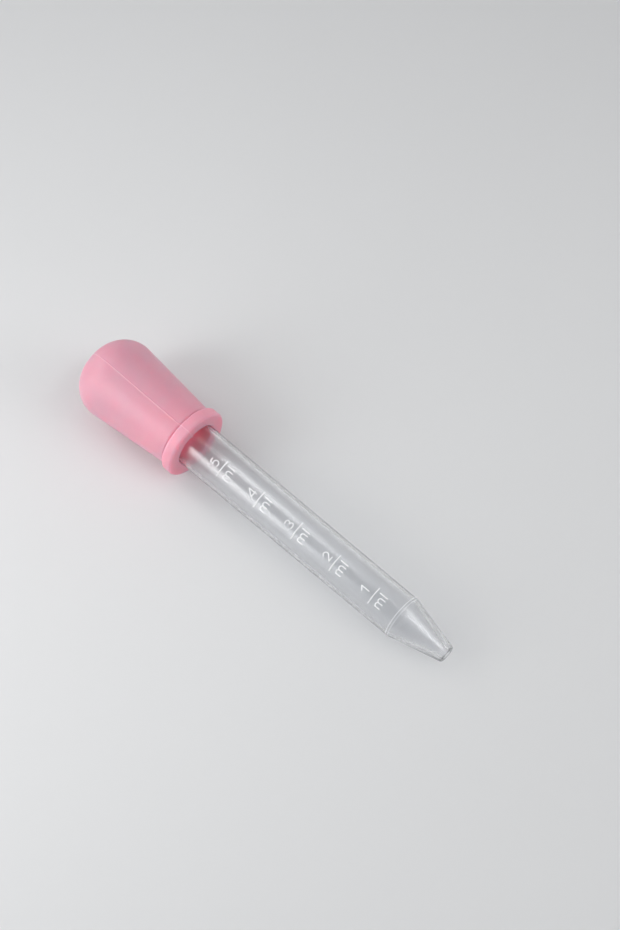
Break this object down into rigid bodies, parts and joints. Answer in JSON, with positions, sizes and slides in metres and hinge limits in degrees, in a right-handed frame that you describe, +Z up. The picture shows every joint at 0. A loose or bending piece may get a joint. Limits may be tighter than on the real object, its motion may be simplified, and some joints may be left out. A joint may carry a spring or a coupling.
{
  "type": "liquid dropper",
  "caption": "Clear graduated plastic dropper with a conical tip and a soft rounded squeeze bulb pushed over its open end, lying on its side.",
  "frame": {"origin": "on the surface that the dropper lies on, under the middle of its length", "axes": "+X along the dropper towards its tip, +Z up; the dropper's own axis points 2.8 degrees below +X, because it lies on its bulb and collar"},
  "size_m": [0.1198, 0.0222, 0.0222],
  "materials": {
    "bulb": "satin pink silicone rubber",
    "barrel": "clear moulded plastic, slightly hazy"
  },
  "bodies": {
    "root": {"bulb": "bulb", "barrel": "barrel"}
  },
  "joints": []
}
